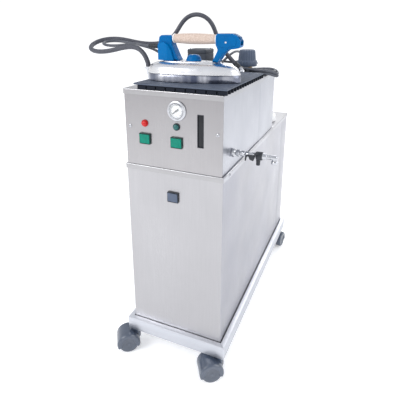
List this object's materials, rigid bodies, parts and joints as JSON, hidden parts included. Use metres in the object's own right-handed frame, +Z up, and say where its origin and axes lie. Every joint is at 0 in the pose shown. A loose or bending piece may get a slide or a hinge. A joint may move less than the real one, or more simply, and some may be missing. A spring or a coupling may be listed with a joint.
{
  "type": "steam generator iron",
  "caption": "Boiler cabinet with a professional steam iron resting on its rubber mat, on a narrow wheeled cabinet that holds the feed-water tank.",
  "frame": {"origin": "on the floor under the centre of the machine's box, cords not counted", "axes": "+X to the machine's right seen from the front, +Y from the switch panel to the rear, +Z up"},
  "size_m": [0.5223, 0.7236, 0.8523],
  "materials": {
    "cabinet_sheet": "brushed stainless sheet, satin",
    "tray_sheet": "brushed stainless tray, brighter lip",
    "polished_steel": "polished",
    "boiler_steel": "drawn and welded stainless, satin",
    "brass": "machined brass, slightly dulled",
    "sole_aluminium": "ground and polished cast aluminium",
    "iron_blue": "moulded phenolic, glossy blue",
    "grip_cork": "cork sleeve, fine grain",
    "black_plastic": "moulded, fine texture",
    "slate_plastic": "moulded, satin",
    "castor_plastic": "moulded nylon, semi-gloss",
    "mat_rubber": "moulded ribbed rubber, dusty",
    "hose_rubber": "extruded hose and cable jacket, matte",
    "switch_green": "translucent lit green",
    "lamp_red": "translucent red lens",
    "lamp_green": "translucent dark green lens",
    "tank_white": "blow-moulded polyethylene",
    "needle_black": "matt black paint"
  },
  "bodies": {
    "cabinet": {"lower_shell": "cabinet_sheet", "lower_rear_cover": "cabinet_sheet", "lower_deck": "cabinet_sheet", "upper_shell": "cabinet_sheet", "upper_rear_cover": "cabinet_sheet", "upper_front_panel": "cabinet_sheet", "upper_top_plate": "cabinet_sheet", "base_tray": "tray_sheet", "gauge_case": "polished_steel", "drain_valve_body": "polished_steel", "boiler": "boiler_steel", "heating_element": "brass", "steam_solenoid_valve": "brass", "hose_outlet": "brass", "feed_pump": "black_plastic", "pressure_switch": "black_plastic", "level_housing": "black_plastic", "drain_spout": "black_plastic", "mains_gland": "black_plastic", "mains_plug": "black_plastic", "switch_left_frame": "black_plastic", "switch_middle_frame": "black_plastic", "switch_lower_frame": "black_plastic", "junction_box": "slate_plastic", "iron_mat": "mat_rubber", "steam_hose_arch": "hose_rubber", "iron_cable_run": "hose_rubber", "mains_lead_run": "hose_rubber", "mains_lead_end": "hose_rubber", "mains_lead_hank": "hose_rubber", "lamp_red": "lamp_red", "lamp_green": "lamp_green", "water_tank": "tank_white"},
    "iron": {"iron_sole": "sole_aluminium", "iron_cover": "polished_steel", "iron_hose_barb": "polished_steel", "iron_rear_post": "iron_blue", "iron_front_post": "iron_blue", "iron_grip": "grip_cork", "iron_cable_relief": "hose_rubber", "steam_hose_loop": "hose_rubber", "iron_cable_loop": "hose_rubber"},
    "iron_thermostat": {"iron_thermostat_knob": "iron_blue"},
    "iron_trigger": {"iron_steam_trigger": "iron_blue"},
    "boiler_plug": {"boiler_cap_plug": "brass"},
    "boiler_knob": {"boiler_cap_knob": "slate_plastic"},
    "filler_cap": {"tank_filler_cap": "tank_white"},
    "pointer": {"gauge_needle": "needle_black"},
    "left_switch": {"switch_left_rocker": "switch_green"},
    "middle_switch": {"switch_middle_rocker": "switch_green"},
    "lower_switch": {"switch_lower_rocker": "slate_plastic"},
    "drain_lever": {"drain_valve_lever": "black_plastic"},
    "castor_fl": {"castor_fl_hood": "castor_plastic"},
    "castor_fl_roll": {"castor_fl_wheels": "castor_plastic"},
    "castor_fr": {"castor_fr_hood": "castor_plastic"},
    "castor_fr_roll": {"castor_fr_wheels": "castor_plastic"},
    "castor_rl": {"castor_rl_hood": "castor_plastic"},
    "castor_rl_roll": {"castor_rl_wheels": "castor_plastic"},
    "castor_rr": {"castor_rr_hood": "castor_plastic"},
    "castor_rr_roll": {"castor_rr_wheels": "castor_plastic"}
  },
  "joints": [
    {"name": "iron_lift", "type": "slide", "parent": "cabinet", "child": "iron", "axis": [0, 0, 1], "range_m": [0, 0.12]},
    {"name": "thermostat_turn", "type": "hinge", "parent": "iron", "child": "iron_thermostat", "pos_m": [-0.0089, -0.22374, 0.75], "axis": [0, 0, 1], "range_deg": [0, 270]},
    {"name": "steam_trigger_press", "type": "hinge", "parent": "iron", "child": "iron_trigger", "pos_m": [0.0691, -0.22374, 0.784], "axis": [0, 1, 0], "range_deg": [0, 8], "stiffness_Nm_per_rad": 0.4, "springref_deg": -5.73},
    {"name": "boiler_plug_lift", "type": "slide", "parent": "cabinet", "child": "boiler_plug", "axis": [0, 0, 1], "range_m": [0, 0.08]},
    {"name": "boiler_knob_turn", "type": "hinge", "parent": "boiler_plug", "child": "boiler_knob", "pos_m": [0.0251, 0.06826, 0.73], "axis": [0, 0, 1], "continuous": true},
    {"name": "filler_cap_lift", "type": "slide", "parent": "cabinet", "child": "filler_cap", "axis": [0, 0, 1], "range_m": [0, 0.05]},
    {"name": "gauge_pointer", "type": "hinge", "parent": "cabinet", "child": "pointer", "pos_m": [-0.0085, -0.31474, 0.651], "axis": [0, 1, 0], "range_deg": [-10, 260], "stiffness_Nm_per_rad": 0.0003},
    {"name": "left_switch_rock", "type": "hinge", "parent": "cabinet", "child": "left_switch", "pos_m": [-0.0864, -0.31174, 0.5825], "axis": [1, 0, 0], "range_deg": [-9, 0]},
    {"name": "middle_switch_rock", "type": "hinge", "parent": "cabinet", "child": "middle_switch", "pos_m": [-0.0095, -0.31174, 0.582], "axis": [1, 0, 0], "range_deg": [-9, 0]},
    {"name": "lower_switch_rock", "type": "hinge", "parent": "cabinet", "child": "lower_switch", "pos_m": [-0.0206, -0.31174, 0.4537], "axis": [1, 0, 0], "range_deg": [-9, 0]},
    {"name": "drain_lever_turn", "type": "hinge", "parent": "cabinet", "child": "drain_lever", "pos_m": [0.1424, -0.26774, 0.556], "axis": [0, 1, 0], "range_deg": [0, 90]},
    {"name": "castor_fl_swivel", "type": "hinge", "parent": "cabinet", "child": "castor_fl", "pos_m": [-0.1379, -0.30974, 0.05], "axis": [0, 0, 1], "continuous": true},
    {"name": "castor_fl_spin", "type": "hinge", "parent": "castor_fl", "child": "castor_fl_roll", "pos_m": [-0.15707, -0.32418, 0.025], "axis": [0.6018, -0.7986, 0], "continuous": true},
    {"name": "castor_fr_swivel", "type": "hinge", "parent": "cabinet", "child": "castor_fr", "pos_m": [0.0961, -0.30974, 0.05], "axis": [0, 0, 1], "continuous": true},
    {"name": "castor_fr_spin", "type": "hinge", "parent": "castor_fr", "child": "castor_fr_roll", "pos_m": [0.0762, -0.32316, 0.025], "axis": [0.5592, -0.829, 0], "continuous": true},
    {"name": "castor_rl_swivel", "type": "hinge", "parent": "cabinet", "child": "castor_rl", "pos_m": [-0.1379, 0.34626, 0.05], "axis": [0, 0, 1], "continuous": true},
    {"name": "castor_rl_spin", "type": "hinge", "parent": "castor_rl", "child": "castor_rl_roll", "pos_m": [-0.14804, 0.32451, 0.025], "axis": [0.9063, -0.4226, 0], "continuous": true},
    {"name": "castor_rr_swivel", "type": "hinge", "parent": "cabinet", "child": "castor_rr", "pos_m": [0.0961, 0.34626, 0.05], "axis": [0, 0, 1], "continuous": true},
    {"name": "castor_rr_spin", "type": "hinge", "parent": "castor_rr", "child": "castor_rr_roll", "pos_m": [0.09276, 0.32249, 0.025], "axis": [0.9903, -0.1392, 0], "continuous": true}
  ]
}
